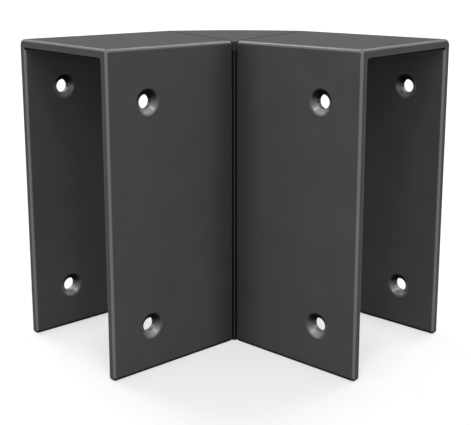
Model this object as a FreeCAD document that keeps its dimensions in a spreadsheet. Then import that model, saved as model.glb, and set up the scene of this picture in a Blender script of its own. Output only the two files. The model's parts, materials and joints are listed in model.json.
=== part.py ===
"""Pergola purlin bracket: two folded plate channels that meet at a corner.

A flush gusset joins the two top plates, and an upright weld joins the two front walls.
Lengths are millimetres and angles degrees. +Z is up, the channels open downwards, and the
concave corner faces -Y. The origin is under the middle of the bracket, in the plane of its feet.
"""
import FreeCAD, Part
import os
import Sketcher

# Driving sizes: name, value and what it measures
SIZES = (
    ("wall_height", 203.2, "outer height of a channel, foot to top face"),
    ("inner_width", 90.5, "clear width between the two walls of a channel"),
    ("plate_thickness", 6.35, "thickness of every plate"),
    ("arm_length", 96.8, "front wall, from the line of the corner to the open end"),
    ("arm_angle", 49.0, "each arm to the plane of symmetry"),
    ("seam_angle", 28.5, "each seam to the plane of symmetry"),
    ("front_bend", 2.4, "outer radius of the long bend above the front wall"),
    ("back_bend", 4.5, "outer radius of the long bend above the back wall"),
    ("inner_bend", 1.0, "inner radius of both long bends"),
    ("edge_round", 1.8, "rounding of the cut edges of every plate"),
    ("bolt_hole", 9.0, "diameter of a bolt hole's straight throat"),
    ("hole_mouth", 15.4, "diameter of a bolt hole's flared mouth"),
    ("mouth_angle", 100.0, "full angle of the flare"),
    ("mouth_bevel", 0.6, "bevel of the lip of a mouth"),
    ("hole_end_inset", 28.6, "hole axis to the open end"),
    ("hole_top_inset", 33.0, "upper hole axis to the top face"),
    ("hole_foot_inset", 29.0, "lower hole axis to the foot"),
    ("back_wall_start", 16.0, "back wall, from the line of the corner to its near edge"),
    ("back_lip", 15.0, "depth of the fold left along the back edge, short of that wall"),
    ("relief_radius", 6.0, "inner corner between that lip and the wall"),
    ("groove_width", 2.5, "gap between the front walls at the corner, before its edges are rounded"),
    ("weld_width", 1.3, "width of the face of the upright weld in that gap"),
    ("weld_inset", 1.2, "edges of that face behind the line of the corner"),
    ("weld_crown", 0.2, "how far that face swells out"),
    ("weld_shoulder", 2.6, "depth at which the sides of the weld meet the cut ends of the walls"),
    ("gusset_bow", 8.0, "how far the back edge of the gusset bows out"),
    ("cut_overrun", 5.0, "how far a cutting shape runs past the metal"),
)

# Lengths and angles that more than one piece uses, worked out from the driving sizes
OUTER_WIDTH = "(Sizes.inner_width + 2 * Sizes.plate_thickness)"
UNDERSIDE = "(Sizes.wall_height - Sizes.plate_thickness)"
CUT_ANGLE = "(Sizes.seam_angle + Sizes.arm_angle)"
GROOVE_HALF = "(Sizes.groove_width / 2)"
TIP_BACK = f"({GROOVE_HALF} / tan(Sizes.arm_angle))"
SEAM_START = f"({GROOVE_HALF} / sin(Sizes.arm_angle))"
BLANK_BACK = f"(max({OUTER_WIDTH} / tan{CUT_ANGLE}; 0) + Sizes.cut_overrun)"
SEAM_LENGTH = f"({OUTER_WIDTH} / sin{CUT_ANGLE})"
SEAM_END_X = f"({GROOVE_HALF} + {SEAM_LENGTH} * sin(Sizes.seam_angle))"
SEAM_END_Y = f"({SEAM_LENGTH} * cos(Sizes.seam_angle) - {TIP_BACK})"
BACK_REACH = f"({SEAM_END_Y} + Sizes.gusset_bow)"
FRONT_REACH = (
    "((Sizes.arm_length - Sizes.edge_round) * cos(Sizes.arm_angle)"
    " - Sizes.edge_round * sin(Sizes.arm_angle) + Sizes.edge_round)"
)
MIDDLE_Y = f"(({BACK_REACH} - {FRONT_REACH}) / 2)"

# A point within this distance of a plane counts as lying on it
NEAR = 1e-4

doc = FreeCAD.newDocument("PurlinBracket")
sizes = doc.addObject("Spreadsheet::Sheet", "Sizes")
for row, (alias, value, meaning) in enumerate(SIZES, start=1):
    sizes.set(f"A{row}", meaning)
    sizes.set(f"B{row}", str(value))
    sizes.setAlias(f"B{row}", alias)
doc.recompute()


def measure(expression):
    """The present value of an expression of the driving sizes."""
    value = sizes.evalExpression(str(expression))
    return float(getattr(value, "Value", value))


def make_body(label, place):
    """An empty body that turns about Z, with expressions for the parts of its placement."""
    body = doc.addObject("PartDesign::Body", label)
    body.Label = label
    upright = FreeCAD.Rotation(FreeCAD.Vector(0, 0, 1), 1)
    body.Placement = FreeCAD.Placement(FreeCAD.Vector(), upright)
    for path, expression in place.items():
        body.setExpression(f"Placement.{path}", expression)
    return body


def make_sketch(body, name, plane_role, lift):
    """A sketch on one of the body's own origin planes, lifted off it along its normal."""
    plane = next(item for item in body.Origin.OriginFeatures if item.Role == plane_role)
    sketch = body.newObject("Sketcher::SketchObject", name)
    sketch.AttachmentSupport = (plane, [""])
    sketch.MapMode = "FlatFace"
    sketch.setExpression("AttachmentOffset.Base.z", lift)
    return sketch


def hold(sketch, name, kind, targets, expression):
    """A named dimension of a sketch, driven by an expression."""
    index = sketch.addConstraint(Sketcher.Constraint(kind, *targets, measure(expression)))
    sketch.renameConstraint(index, name)
    sketch.setExpression(f"Constraints.{name}", expression)


def draw_outline(sketch, corners, bows=None):
    """A closed outline, counter-clockwise through named corners with two expressions each.

    A side is straight unless bows has it under the name of its first corner, with expressions
    for half its chord and for how far it swells outwards.
    """
    bows = bows or {}
    points = [FreeCAD.Vector(measure(across), measure(up), 0) for _, across, up in corners]
    for side, (name, across, up) in enumerate(corners):
        start = points[side]
        finish = points[(side + 1) % len(points)]
        if name in bows:
            half_chord, bow = bows[name]
            run = finish - start
            outward = FreeCAD.Vector(run.y, -run.x, 0).normalize()
            crest = (start + finish) / 2 + outward * measure(bow)
            sketch.addGeometry(Part.Arc(start, crest, finish), False)
            radius = f"(({half_chord})^2 + ({bow})^2) / (2 * {bow})"
            hold(sketch, f"{name}_radius", "Radius", (side,), radius)
        else:
            sketch.addGeometry(Part.LineSegment(start, finish), False)
    for side, (name, across, up) in enumerate(corners):
        before = (side - 1) % len(corners)
        sketch.addConstraint(Sketcher.Constraint("Coincident", before, 2, side, 1))
        hold(sketch, f"{name}_across", "DistanceX", (side, 1), across)
        hold(sketch, f"{name}_up", "DistanceY", (side, 1), up)


def pad(body, sketch, name, length):
    """Material from the sketch along its normal."""
    feature = body.newObject("PartDesign::Pad", name)
    feature.Profile = sketch
    feature.setExpression("Length", length)
    doc.recompute()
    return feature


def edges_on(feature, tests):
    """The names of the feature's edges that lie wholly on any of some surfaces.

    Each test gives a point's distance from its surface.
    """
    names = []
    for number, edge in enumerate(feature.Shape.Edges, start=1):
        first, last = edge.ParameterRange
        points = [edge.valueAt(first), edge.valueAt((first + last) / 2), edge.valueAt(last)]
        if any(all(abs(test(point)) < NEAR for point in points) for test in tests):
            names.append(f"Edge{number}")
    return names


def round_edges(body, base, name, tests, radius):
    """Rounds the edges of a feature that lie on the tested surfaces."""
    feature = body.newObject("PartDesign::Fillet", name)
    feature.Base = (base, edges_on(base, tests))
    feature.setExpression("Radius", radius)
    doc.recompute()
    return feature


def bevel_edges(body, base, name, tests, size):
    """Bevels the edges of a feature that lie on the tested surfaces."""
    feature = body.newObject("PartDesign::Chamfer", name)
    feature.Base = (base, edges_on(base, tests))
    feature.setExpression("Size", size)
    doc.recompute()
    return feature


def fold_channel(body, hand):
    """The long U of a channel, open downwards, with its two bends. It runs along the body's X."""
    half_outer = f"({OUTER_WIDTH} / 2)"
    half_inner = "(Sizes.inner_width / 2)"
    profile = make_sketch(body, f"{body.Label}_profile", "YZ_Plane", f"-{BLANK_BACK}")
    draw_outline(
        profile,
        (
            ("near_foot", f"-{half_outer}", "0"),
            ("near_foot_inside", f"-{half_inner}", "0"),
            ("near_underside", f"-{half_inner}", UNDERSIDE),
            ("far_underside", half_inner, UNDERSIDE),
            ("far_foot_inside", half_inner, "0"),
            ("far_foot", half_outer, "0"),
            ("far_top", half_outer, "Sizes.wall_height"),
            ("near_top", f"-{half_outer}", "Sizes.wall_height"),
        ),
    )
    blank = pad(body, profile, f"{body.Label}_blank", f"Sizes.arm_length + {BLANK_BACK}")

    top = measure("Sizes.wall_height")
    back_side = hand * measure(half_outer)

    def front_corner(point):
        return max(abs(point.z - top), abs(point.y + back_side))

    def back_corner(point):
        return max(abs(point.z - top), abs(point.y - back_side))

    bends = round_edges(body, blank, f"{body.Label}_front_bend", [front_corner], "Sizes.front_bend")
    bends = round_edges(body, bends, f"{body.Label}_back_bend", [back_corner], "Sizes.back_bend")

    underside = measure(UNDERSIDE)
    inner_side = measure(half_inner)

    def inner_corner(point):
        return max(abs(point.z - underside), abs(abs(point.y) - inner_side))

    return round_edges(body, bends, f"{body.Label}_inner_bends", [inner_corner], "Sizes.inner_bend")


def cut_back_wall(body, hand):
    """Cuts the back wall short of the seam, and leaves a lip of it along the fold above."""
    lip_foot = "(Sizes.wall_height - Sizes.back_lip)"
    waste_x = f"-({BLANK_BACK} + Sizes.cut_overrun)"
    lift = f"{-hand} * (Sizes.inner_width / 2 - Sizes.cut_overrun)"
    relief = make_sketch(body, f"{body.Label}_relief", "XZ_Plane", lift)
    draw_outline(
        relief,
        (
            ("waste_foot", waste_x, "-Sizes.cut_overrun"),
            ("wall_foot", "Sizes.back_wall_start", "-Sizes.cut_overrun"),
            ("wall_top", "Sizes.back_wall_start", f"{lip_foot} - Sizes.relief_radius"),
            ("lip_end", "Sizes.back_wall_start - Sizes.relief_radius", lip_foot),
            ("waste_lip", waste_x, lip_foot),
        ),
        {"wall_top": ("(Sizes.relief_radius / sqrt(2))", "(Sizes.relief_radius * (1 - 1 / sqrt(2)))")},
    )
    cut = body.newObject("PartDesign::Pocket", f"{body.Label}_back_cut")
    cut.Profile = relief
    cut.Reversed = hand < 0
    cut.setExpression("Length", "Sizes.plate_thickness + 2 * Sizes.cut_overrun")
    doc.recompute()


def cut_seam(body, hand):
    """Cuts the whole channel square through at its seam. The front wall is at -Y times hand."""
    past = f"({OUTER_WIDTH} / 2 + Sizes.cut_overrun)"
    front_x = f"({SEAM_START} + Sizes.cut_overrun / tan{CUT_ANGLE})"
    back_x = f"({SEAM_START} - ({OUTER_WIDTH} + Sizes.cut_overrun) / tan{CUT_ANGLE})"
    waste_x = f"(min({back_x}; {front_x}) - 4 * Sizes.cut_overrun)"
    waste = make_sketch(body, f"{body.Label}_waste", "XY_Plane", "0")
    draw_outline(
        waste,
        (
            ("front_waste", waste_x, f"{-hand} * {past}"),
            ("front_seam", front_x, f"{-hand} * {past}"),
            ("back_seam", back_x, f"{hand} * {past}"),
            ("back_waste", waste_x, f"{hand} * {past}"),
        ),
    )
    cut = body.newObject("PartDesign::Pocket", f"{body.Label}_seam_cut")
    cut.Profile = waste
    cut.Type = "ThroughAll"
    cut.Reversed = True
    doc.recompute()
    return cut


def round_plate_edges(body, base, hand):
    """Rounds every cut edge of a channel: open end, feet, seam and the near edge of its back wall."""
    end_x = measure("Sizes.arm_length")
    seam_x = measure(SEAM_START)
    lean = measure(f"1 / tan{CUT_ANGLE}")
    square = measure(f"sin{CUT_ANGLE}")
    front_y = -hand * measure(f"{OUTER_WIDTH} / 2")
    back_faces = (hand * measure("Sizes.inner_width / 2"), -front_y)
    relief = measure("Sizes.relief_radius")
    relief_x = measure("Sizes.back_wall_start") - relief
    relief_z = measure("Sizes.wall_height - Sizes.back_lip") - relief

    def open_end(point):
        return point.x - end_x

    def foot(point):
        return point.z

    def seam(point):
        return (point.x - seam_x + (point.y - front_y) * hand * lean) * square

    def back_cut(point):
        past_x = point.x - relief_x
        past_z = point.z - relief_z
        if past_x > 0 and past_z > 0:
            off_cut = (past_x**2 + past_z**2) ** 0.5 - relief
        else:
            off_cut = max(past_x, past_z) - relief
        off_face = min(abs(point.y - face) for face in back_faces)
        return max(abs(off_cut), off_face)

    tests = [open_end, foot, seam, back_cut]
    return round_edges(body, base, f"{body.Label}_cut_edges", tests, "Sizes.edge_round")


def drill_wall(body, wall, face, hand):
    """Two flared bolt holes through one wall, from the face that looks towards the corner's front.

    face is the place of that face across the channel, measured from its middle.
    """
    marks = make_sketch(body, f"{body.Label}_{wall}_marks", "XZ_Plane", f"{-hand} * {face}")
    along = "(Sizes.arm_length - Sizes.hole_end_inset)"
    heights = {
        "upper": "(Sizes.wall_height - Sizes.hole_top_inset)",
        "lower": "Sizes.hole_foot_inset",
    }
    for circle, (name, height) in enumerate(heights.items()):
        centre = FreeCAD.Vector(measure(along), measure(height), 0)
        radius = measure("Sizes.bolt_hole / 2")
        marks.addGeometry(Part.Circle(centre, FreeCAD.Vector(0, 0, 1), radius), False)
        hold(marks, f"{name}_along", "DistanceX", (circle, 3), along)
        hold(marks, f"{name}_height", "DistanceY", (circle, 3), height)
        hold(marks, f"{name}_size", "Diameter", (circle,), "Sizes.bolt_hole")
    doc.recompute()

    holes = body.newObject("PartDesign::Hole", f"{body.Label}_{wall}_holes")
    holes.Profile = marks
    holes.ThreadType = "None"
    holes.DepthType = "Dimension"
    holes.DrillPoint = "Flat"
    holes.HoleCutType = "Countersink"
    holes.HoleCutCustomValues = True
    holes.Reversed = hand < 0
    holes.setExpression("Diameter", "Sizes.bolt_hole")
    holes.setExpression("HoleCutDiameter", "Sizes.hole_mouth")
    holes.setExpression("HoleCutCountersinkAngle", "Sizes.mouth_angle")
    holes.setExpression("Depth", "Sizes.plate_thickness + Sizes.cut_overrun")
    doc.recompute()

    face_y = hand * measure(face)
    mouth = measure("Sizes.hole_mouth / 2")
    centres = [(measure(along), measure(height)) for height in heights.values()]

    def lip(point):
        off_circle = min(abs(((point.x - x) ** 2 + (point.z - z) ** 2) ** 0.5 - mouth) for x, z in centres)
        return max(off_circle, abs(point.y - face_y))

    return bevel_edges(body, holes, f"{body.Label}_{wall}_lips", [lip], "Sizes.mouth_bevel")


def make_channel(label, hand):
    """One arm of the bracket. hand is 1 for the arm on the right of the corner, -1 on the left."""
    half_outer = f"({OUTER_WIDTH} / 2)"
    body = make_body(
        label,
        {
            "Base.x": f"{hand} * cos(Sizes.arm_angle) * {half_outer}",
            "Base.y": f"sin(Sizes.arm_angle) * {half_outer} - {MIDDLE_Y}",
            "Rotation.Angle": f"{hand} * Sizes.arm_angle - 90",
        },
    )
    fold_channel(body, hand)
    cut_back_wall(body, hand)
    seam_cut = cut_seam(body, hand)
    round_plate_edges(body, seam_cut, hand)
    drill_wall(body, "front", f"(-{half_outer})", hand)
    drill_wall(body, "back", "(Sizes.inner_width / 2)", hand)
    return body


def make_gusset():
    """The flush plate between the two top plates. Its edges are dressed to follow their bends."""
    body = make_body("top_gusset", {"Base.y": f"-{MIDDLE_Y}", "Rotation.Angle": "0"})
    plan = make_sketch(body, "top_gusset_plan", "XY_Plane", UNDERSIDE)
    draw_outline(
        plan,
        (
            ("tip_left", f"-{GROOVE_HALF}", f"-{TIP_BACK}"),
            ("tip_right", GROOVE_HALF, f"-{TIP_BACK}"),
            ("end_right", SEAM_END_X, SEAM_END_Y),
            ("end_left", f"-{SEAM_END_X}", SEAM_END_Y),
        ),
        {"end_right": (SEAM_END_X, "Sizes.gusset_bow")},
    )
    plate = pad(body, plan, "top_gusset_plate", "Sizes.plate_thickness")

    top = measure("Sizes.wall_height")
    underside = measure(UNDERSIDE)
    tip_y = -measure(TIP_BACK)
    end_y = measure(SEAM_END_Y)

    def top_tip(point):
        return abs(point.z - top) + max(point.y - tip_y, 0)

    def top_back(point):
        return abs(point.z - top) + max(end_y - point.y, 0)

    def under_back(point):
        return abs(point.z - underside) + max(end_y - point.y, 0)

    dressed = round_edges(body, plate, "top_gusset_tip", [top_tip], "Sizes.front_bend")
    dressed = round_edges(body, dressed, "top_gusset_back", [top_back], "Sizes.back_bend")
    round_edges(body, dressed, "top_gusset_under_edge", [under_back], "Sizes.edge_round")
    return body


def make_weld():
    """The upright weld between the cut ends of the front walls. A narrow groove is left on each side."""
    body = make_body("corner_weld", {"Base.y": f"-{MIDDLE_Y}", "Rotation.Angle": "0"})
    cut_face = f"(Sizes.plate_thickness / sin{CUT_ANGLE})"
    face_x = "(Sizes.weld_width / 2)"
    face_y = f"(Sizes.weld_inset - {TIP_BACK})"
    shoulder_x = f"({GROOVE_HALF} + Sizes.weld_shoulder * tan(Sizes.seam_angle))"
    shoulder_y = f"(Sizes.weld_shoulder - {TIP_BACK})"
    root_x = f"({GROOVE_HALF} + {cut_face} * sin(Sizes.seam_angle))"
    root_y = f"({cut_face} * cos(Sizes.seam_angle) - {TIP_BACK})"
    section = make_sketch(body, "corner_weld_section", "XY_Plane", "0")
    draw_outline(
        section,
        (
            ("face_left", f"-{face_x}", face_y),
            ("face_right", face_x, face_y),
            ("shoulder_right", shoulder_x, shoulder_y),
            ("root_right", root_x, root_y),
            ("root_left", f"-{root_x}", root_y),
            ("shoulder_left", f"-{shoulder_x}", shoulder_y),
        ),
        {"face_left": (face_x, "Sizes.weld_crown")},
    )
    pad(body, section, "corner_weld_bead", UNDERSIDE)
    return body


def find_faults(bodies):
    """Every feature that failed and every piece with no sound solid."""
    faults = [f"{item.Name}: {item.State}" for item in doc.Objects if {"Invalid", "Error"} & set(item.State)]
    for body in bodies:
        shape = body.Shape
        if shape.isNull() or not shape.isValid() or len(shape.Solids) != 1:
            faults.append(f"{body.Label}: no single sound solid")
    return faults


bodies = [
    make_channel("left_channel", -1),
    make_channel("right_channel", 1),
    make_gusset(),
    make_weld(),
]
doc.recompute()
faults = find_faults(bodies)
if faults:
    raise SystemExit("\n".join(faults))

os.makedirs("parts", exist_ok=True)
for body in bodies:
    body.Shape.exportStep(f"parts/{body.Label}.step")
    box = body.Shape.BoundBox
    print(
        f"{body.Label}: {body.Shape.Volume:.1f} mm3,"
        f" x {box.XMin:.2f} to {box.XMax:.2f},"
        f" y {box.YMin:.2f} to {box.YMax:.2f},"
        f" z {box.ZMin:.2f} to {box.ZMax:.2f}"
    )
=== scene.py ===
"""Pergola purlin bracket in a plain white studio. Lengths are metres, in the frame of the CAD."""
import json
import math
import bpy
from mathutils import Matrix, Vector


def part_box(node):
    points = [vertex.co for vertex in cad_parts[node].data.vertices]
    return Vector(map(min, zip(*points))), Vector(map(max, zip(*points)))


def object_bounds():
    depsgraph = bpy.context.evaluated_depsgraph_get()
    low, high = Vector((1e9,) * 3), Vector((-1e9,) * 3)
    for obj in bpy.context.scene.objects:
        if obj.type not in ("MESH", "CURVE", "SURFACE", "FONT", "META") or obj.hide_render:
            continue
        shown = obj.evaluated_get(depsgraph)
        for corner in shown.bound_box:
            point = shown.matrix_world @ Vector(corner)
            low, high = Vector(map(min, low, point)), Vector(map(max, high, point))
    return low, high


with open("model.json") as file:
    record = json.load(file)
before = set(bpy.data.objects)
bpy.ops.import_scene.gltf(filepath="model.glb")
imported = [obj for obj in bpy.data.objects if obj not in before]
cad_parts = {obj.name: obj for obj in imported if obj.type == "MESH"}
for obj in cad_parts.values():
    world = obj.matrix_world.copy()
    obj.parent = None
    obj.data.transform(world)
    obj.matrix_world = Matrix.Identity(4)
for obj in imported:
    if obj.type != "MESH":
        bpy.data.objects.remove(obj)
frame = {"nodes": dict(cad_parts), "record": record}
cad_low, cad_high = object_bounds()
scene = bpy.context.scene
scene.view_settings.view_transform = "Standard"

# The directions along and across the right arm, and where the bolts sit. The left arm is its mirror image.
bolts = [mount for mount in frame["record"]["mounts"] if mount["kind"] == "bore"]
across_x, across_y = (abs(part) for part in bolts[0]["axis"][:2])
ACROSS_ARM = Vector((across_x, across_y, 0))
ALONG_ARM = Vector((across_y, -across_x, 0))
bolt_x, bolt_y = bolts[0]["pos_m"][:2]
BOLT_ALONG_ARM = ALONG_ARM.dot(Vector((abs(bolt_x), bolt_y, 0)))
BOLT_HEIGHTS = [bolt["pos_m"][2] for bolt in bolts]

# Painted shade for down-facing edges, hole tops, feet and grooves, a darker painted shade deep in the inner
# corner, and a pale painted highlight for the bottoms of the hole mouths
PAINTED_SHADE = (0.006, 0.006, 0.006)
CORNER_PAINTED_SHADE = (0.003, 0.003, 0.003)
PAINTED_HIGHLIGHT = (0.24, 0.24, 0.243)

# How far the painted shade goes under down-facing edges and at the feet, where no gloss is left
FULL_PAINTED_SHADE = 0.9

# Where most of a noise lies, between 0 and 1
NOISE_RANGE = (0.3, 0.7)


class Steps:
    """The nodes of one material or of the world. Each call adds a step and gives its result."""

    def __init__(self, owner):
        owner.use_nodes = True
        self.nodes, self.links = owner.node_tree.nodes, owner.node_tree.links
        self.nodes.clear()

    def fill(self, node, inputs):
        """A node's inputs, by name or number, set to numbers and colours or joined to other steps."""
        for name, value in inputs.items():
            socket = node.inputs[name]
            if isinstance(value, bpy.types.NodeSocket):
                self.links.new(value, socket)
            elif socket.type == "RGBA":
                socket.default_value = (*value, 1)
            else:
                socket.default_value = value

    def add(self, kind, inputs):
        """A node of a kind, with its inputs filled."""
        node = self.nodes.new("ShaderNode" + kind)
        self.fill(node, inputs)
        return node

    def calculate(self, operation, *values):
        """The result of one step of arithmetic."""
        step = self.add("Math", dict(enumerate(values)))
        step.operation = operation
        return step.outputs[0]

    def product(self, *values):
        """Several values multiplied."""
        total = values[0]
        for value in values[1:]:
            total = self.calculate("MULTIPLY", total, value)
        return total

    def span(self, value, source, target=(0, 1), course="LINEAR"):
        """A value carried from one range to another, and held at the ends."""
        ranged = self.add("MapRange", {"Value": value, "From Min": source[0], "From Max": source[1]})
        self.fill(ranged, {"To Min": target[0], "To Max": target[1]})
        ranged.interpolation_type = course
        return ranged.outputs["Result"]

    def blend(self, factor, first, second):
        """A colour between two, by a factor. Each may be a colour or the result of another blend."""
        first_colour, second_colour, mixed_colour = 6, 7, 2
        mix = self.nodes.new("ShaderNodeMix")
        mix.data_type = "RGBA"
        self.fill(mix, {0: factor, first_colour: first, second_colour: second})
        return mix.outputs[mixed_colour]

    def level_vector(self, x, y):
        """A level vector from its two parts."""
        return self.add("CombineXYZ", {"X": x, "Y": y}).outputs[0]

    def measure(self, operation, *vectors):
        """A number measured on vectors, such as a length."""
        step = self.add("VectorMath", dict(enumerate(vectors)))
        step.operation = operation
        return step.outputs["Value"]


class Coat(Steps):
    """The steps of one coat, with the place and the direction of the surface in the object's own space.

    facing_z is 1 where the surface looks straight up and -1 where it looks down, and facing_y is -1 where it
    looks to the front. rounded is 1 on rounded edges and in the mouths of the holes, and 0 on flat faces.
    polish is 1 where the coat is glossiest and, in the spray, where its colour gets a painted highlight,
    roughness_share is its roughness as a share of the flats', and dull takes its gloss away where painted
    shade darkens it. The spray sets these three and the colour, and later functions change them.
    """

    def __init__(self, owner, has_arm):
        super().__init__(owner)
        coordinates = self.add("TexCoord", {})
        self.place = coordinates.outputs["Object"]
        self.x, self.y, self.z = self.add("SeparateXYZ", {0: self.place}).outputs
        normal = coordinates.outputs["Normal"]
        self.facing_x, self.facing_y, self.facing_z = self.add("SeparateXYZ", {0: normal}).outputs
        self.rounded = self.off_flat(has_arm)

    def off_flat(self, has_arm):
        """0 on upright and level faces, 1 on the rounded edges between them and in the mouths of the holes.

        On a node with an arm, an upright face also has to lie along or across that arm.
        """
        if has_arm:
            side = self.calculate("SIGN", self.x)
            level = self.level_vector(self.product(self.facing_x, side), self.facing_y)
            parts = [self.measure("DOT_PRODUCT", level, direction) for direction in (ALONG_ARM, ACROSS_ARM)]
        else:
            parts = [self.measure("LENGTH", self.level_vector(self.facing_x, self.facing_y))]
        flatness = self.calculate("ABSOLUTE", self.facing_z)
        for part in parts:
            flatness = self.calculate("MAXIMUM", flatness, self.calculate("ABSOLUTE", part))
        last_flat, first_round = 0.995, 0.94
        return self.span(flatness, (last_flat, first_round))

    def noise(self, scale, detail):
        """Noise in the object's own space. Its scale is in features per metre."""
        return self.add("TexNoise", {"Vector": self.place, "Scale": scale, "Detail": detail}).outputs["Fac"]

    def bump(self, height, distance, strength, below=None):
        """The direction of a surface with a relief, at most a given distance high, on top of another one."""
        inputs = {"Height": height, "Distance": distance, "Strength": strength}
        if below:
            inputs["Normal"] = below
        return self.add("Bump", inputs).outputs["Normal"]

    def paint(self, amount, colour):
        """The coat's colour, carried towards another one by an amount."""
        self.colour = self.blend(amount, self.colour, colour)


def spray(coat, dark, light):
    """The even film: mottled between two colours, and glossier over the rounded edges, with a painted
    highlight that makes them lighter.

    On rounded edges that look down it is painted shade instead: dark and dull.
    """
    mottling = 0.3
    edge_painted_highlight = 0.4
    edge_roughness_share = 0.54
    not_facing_down = coat.span(coat.facing_z, (-0.35, -0.05))
    coat.polish = coat.product(coat.rounded, not_facing_down)
    coat.roughness_share = coat.span(coat.polish, (0, 1), (1, edge_roughness_share))
    mottle = coat.span(coat.noise(scale=45, detail=3), NOISE_RANGE, (0, mottling))
    # Rounded edges that don't look down are lightened towards the light colour: a painted highlight.
    tint = coat.calculate("ADD", mottle, coat.product(coat.polish, edge_painted_highlight))
    coat.colour = coat.blend(tint, dark, light)
    # Rounded edges that look down are painted dark and dull: painted shade.
    faces_down = coat.span(coat.facing_z, (-0.2, -0.55), (0, FULL_PAINTED_SHADE))
    coat.dull = coat.product(faces_down, coat.rounded)
    coat.paint(coat.dull, PAINTED_SHADE)


def around_bolts(coat):
    """1 on the strips of an arm that hold the bolt holes, clear of its bends, feet and cut ends, else 0."""
    reach = 0.011
    fade = 0.003
    sideways = coat.calculate("ABSOLUTE", coat.x)
    along = coat.measure("DOT_PRODUCT", coat.level_vector(sideways, coat.y), ALONG_ARM)
    sides = []
    for value, first, last in (
        (along, BOLT_ALONG_ARM, BOLT_ALONG_ARM),
        (coat.z, min(BOLT_HEIGHTS), max(BOLT_HEIGHTS)),
    ):
        sides.append(coat.span(value, (first - reach - fade, first - reach)))
        sides.append(coat.span(value, (last + reach + fade, last + reach)))
    return coat.product(*sides)


def paint_mouth_shade_and_highlight(coat):
    """The flared mouths of the bolt holes: painted shade at the top, and a painted highlight along the
    bottom, which is also smoother.
    """
    mouth_top_shade = 0.92
    polish_left = 0.2
    mouth_bottom_smoothing = 0.22
    mouths = around_bolts(coat)
    faces_down = coat.span(coat.facing_z, (0.4, -0.35), (0, mouth_top_shade))
    upper = coat.product(faces_down, mouths, coat.rounded)
    faces_up = coat.span(coat.facing_z, (0.25, 0.63))
    lower = coat.product(faces_up, mouths)
    # Painted shade at the tops of the hole mouths, and a painted highlight along their bottoms.
    coat.paint(upper, PAINTED_SHADE)
    coat.paint(lower, PAINTED_HIGHLIGHT)
    smoothed = coat.product(lower, mouth_bottom_smoothing)
    coat.roughness_share = coat.calculate("SUBTRACT", coat.roughness_share, smoothed)
    coat.polish = coat.product(coat.polish, coat.span(upper, (0, 1), (1, polish_left)))


def paint_foot_shade(coat):
    """The feet of the walls, painted with shade: dark and dull over about their lowest two millimetres."""
    foot = cad_low.z + 0.0014
    fade = 0.0012
    # The lowest two millimetres are painted near-black: painted shade at the feet.
    at_foot = coat.span(coat.z, (foot + fade, foot), (0, FULL_PAINTED_SHADE))
    coat.paint(at_foot, PAINTED_SHADE)
    coat.dull = coat.calculate("MAXIMUM", coat.dull, at_foot)


def paint_corner_shade(coat):
    """The front walls, darker over the last 20 mm towards the inner corner: painted shade."""
    reach = 0.020
    edge_of_weld = 0.0015
    darkest = 0.46
    sideways = coat.calculate("ABSOLUTE", coat.x)
    near = coat.span(sideways, (reach, edge_of_weld), (0, darkest), course="SMOOTHSTEP")
    faces_front = coat.span(coat.facing_y, (-0.4, -0.6))
    upright = coat.span(coat.facing_z, (0.5, 0.1))
    # Painted shade: the front walls are carried towards near-black close to the inner corner.
    coat.paint(coat.product(near, faces_front, upright), CORNER_PAINTED_SHADE)


def deep_in_groove(coat):
    """0 on the narrow front face of the weld, 1 on the shoulders that slope away on both sides of it."""
    faces_sideways = coat.calculate("ABSOLUTE", coat.facing_x)
    return coat.span(faces_sideways, (0.1, 0.3))


def deep_at_tip(coat):
    """1 on the upright front of the gusset's tip, deep in the gap between the plates, 0 on its top."""
    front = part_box("top_gusset")[0].y
    depth = 0.0007
    fade = 0.0008
    return coat.span(coat.y, (front + depth + fade, front + depth))


def paint_gap_shade(coat, depth, colour):
    """Painted shade deep in a gap: the colour carried towards a dark one by the gap's mask, and the gloss
    taken away.
    """
    # Painted shade over the gap's mask.
    coat.paint(depth, colour)
    coat.polish = coat.product(coat.polish, coat.span(depth, (0, 1), (1, 0)))


def finish_coat(coat, peel):
    """The coat's shader: its fine grain, its gloss, and the slight waves and specks of the cured film."""
    flat_gloss, edge_gloss = 0.09, 0.8
    roughest, smoothest = 0.74, 0.66
    grain = coat.span(coat.noise(scale=2600, detail=2), NOISE_RANGE, (smoothest, roughest))
    gloss = coat.span(coat.polish, (0, 1), (flat_gloss, edge_gloss))
    gloss_left = coat.span(coat.dull, (0, FULL_PAINTED_SHADE), (1, 0))
    waves = coat.bump(coat.noise(scale=620, detail=2), distance=0.00012, strength=peel)
    specks = coat.bump(coat.noise(scale=3200, detail=1), distance=0.00003, strength=peel * 0.6, below=waves)
    shader = coat.add("BsdfPrincipled", {
        "Base Color": coat.colour,
        "Roughness": coat.product(grain, coat.roughness_share),
        "Specular IOR Level": coat.product(gloss, gloss_left),
        "Normal": specks,
    })
    coat.add("OutputMaterial", {"Surface": shader.outputs["BSDF"]})


def powder_coat(name, dark, light, peel, has_arm=False, gap=None, gap_colour=None):
    """Satin charcoal powder coat between two colours, with painted highlights and painted shade. gap gives
    the mask of a gap that it lines, where gap_colour is painted as shade.
    """
    material = bpy.data.materials.new(name)
    coat = Coat(material, has_arm)
    spray(coat, dark, light)
    if has_arm:
        paint_mouth_shade_and_highlight(coat)
        paint_foot_shade(coat)
        paint_corner_shade(coat)
    if gap:
        paint_gap_shade(coat, gap(coat), gap_colour)
    finish_coat(coat, peel)
    return material


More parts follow.
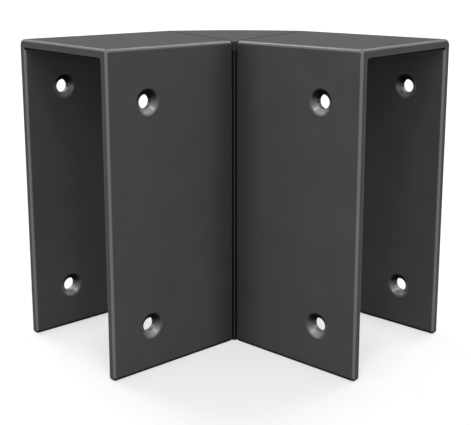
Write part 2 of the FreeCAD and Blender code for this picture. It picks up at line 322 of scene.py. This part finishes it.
def dress_node(name, material):
    """The coat on a CAD node, with its rounded edges shaded smooth and its flat faces flat."""
    sharp_angle = math.radians(38)
    node = frame["nodes"][name]
    for slot in node.material_slots:
        slot.material = material
    node.data.shade_smooth()
    node.data.set_sharp_from_angle(angle=sharp_angle)
    weighted = node.modifiers.new("flat_faces", "WEIGHTED_NORMAL")
    weighted.mode = "FACE_AREA"
    weighted.weight = 100
    weighted.keep_sharp = True


plate_coat = powder_coat(
    "plate_coating", dark=(0.054, 0.054, 0.055), light=(0.076, 0.076, 0.077), peel=0.35, has_arm=True,
)
# The front of the gusset's tip, deep in the gap, gets painted shade.
gusset_coat = powder_coat(
    "gusset_coating", dark=(0.055, 0.055, 0.056), light=(0.077, 0.077, 0.078), peel=0.35,
    gap=deep_at_tip, gap_colour=(0.022, 0.022, 0.0225),
)
# The weld's sloping shoulders, deep in the groove, get painted shade.
weld_coat = powder_coat(
    "weld_coating", dark=(0.030, 0.030, 0.031), light=(0.042, 0.042, 0.043), peel=0.5,
    gap=deep_in_groove, gap_colour=PAINTED_SHADE,
)
dress_node("left_channel", plate_coat)
dress_node("right_channel", plate_coat)
dress_node("top_gusset", gusset_coat)
dress_node("corner_weld", weld_coat)


def ray_is_seen(steps):
    """1 for rays from the camera and for reflected and refracted ones, else 0."""
    path = steps.add("LightPath", {})
    total = path.outputs["Is Camera Ray"]
    for kind in ("Is Glossy Ray", "Is Transmission Ray"):
        either = steps.add("Math", {0: total, 1: path.outputs[kind]})
        either.operation = "ADD"
        either.use_clamp = True
        total = either.outputs[0]
    return total


def make_floor():
    """A pale grey floor that keeps the object's shadow, lifted towards white where it is seen."""
    reach = 6.0
    clearance = 0.0002
    grey = 0.55
    lift = 0.5
    mesh = bpy.data.meshes.new("floor")
    corners = [(-reach, -reach, 0), (reach, -reach, 0), (reach, reach, 0), (-reach, reach, 0)]
    mesh.from_pydata(corners, [], [(0, 1, 2, 3)])
    floor = bpy.data.objects.new("floor", mesh)
    floor.location.z = cad_low.z - clearance
    scene.collection.objects.link(floor)

    material = bpy.data.materials.new("floor_white")
    steps = Steps(material)
    diffuse = steps.add("BsdfDiffuse", {"Color": (grey, grey, grey)})
    glow = steps.add("Emission", {"Strength": steps.product(ray_is_seen(steps), lift)})
    both = steps.add("AddShader", {0: diffuse.outputs["BSDF"], 1: glow.outputs["Emission"]})
    steps.add("OutputMaterial", {"Surface": both.outputs["Shader"]})
    mesh.materials.append(material)


def make_world():
    """A white surround where it is seen, and an even grey light everywhere else."""
    light = 0.45
    seen = 1.0
    world = bpy.data.worlds.new("studio")
    steps = Steps(world)
    strength = steps.span(ray_is_seen(steps), (0, 1), (light, seen))
    surround = steps.add("Background", {"Color": (1, 1, 1), "Strength": strength})
    steps.add("OutputWorld", {"Surface": surround.outputs["Background"]})
    scene.world = world


def make_sun(name, toward, spread, strength):
    """A far, round and soft lamp in a direction from the object, with its spread in degrees."""
    lamp = bpy.data.lights.new(name, "SUN")
    lamp.angle = math.radians(spread)
    lamp.energy = strength
    holder = bpy.data.objects.new(name, lamp)
    holder.rotation_euler = Vector(toward).to_track_quat("Z", "Y").to_euler()
    scene.collection.objects.link(holder)


def make_camera():
    """The photograph's viewpoint: a little above the top plates, looking down at the corner.

    The photograph keeps its verticals parallel. The shift goes part of the way to that.
    """
    image_width = 471
    focal_pixels = 896.9
    pitch = math.radians(11.08)
    turn = math.radians(0.26)
    camera = bpy.data.cameras.new("camera")
    camera.sensor_width = 36
    camera.lens = camera.sensor_width * focal_pixels / image_width
    camera.shift_y = -0.15
    holder = bpy.data.objects.new("camera", camera)
    holder.location = (0.00323, -0.59145, 0.24963)
    holder.rotation_euler = (math.pi / 2 - pitch, 0, turn)
    scene.collection.objects.link(holder)
    scene.camera = holder


make_floor()
make_world()
make_sun("left_rim_light", (-0.45, 0.45, 0.77), spread=26, strength=0.92)
make_sun("right_rim_light", (0.45, 0.45, 0.77), spread=26, strength=0.74)
make_sun("left_top_light", (-0.25, -0.66, 0.7), spread=10, strength=0.42)
make_sun("right_top_light", (0.25, -0.66, 0.7), spread=10, strength=0.42)
make_sun("front_light", (0.0, -0.98, 0.17), spread=80, strength=1.3)
make_sun("left_light", (-0.87, -0.46, 0.14), spread=50, strength=0.45)
make_sun("right_light", (0.87, -0.46, 0.14), spread=50, strength=0.33)
make_camera()
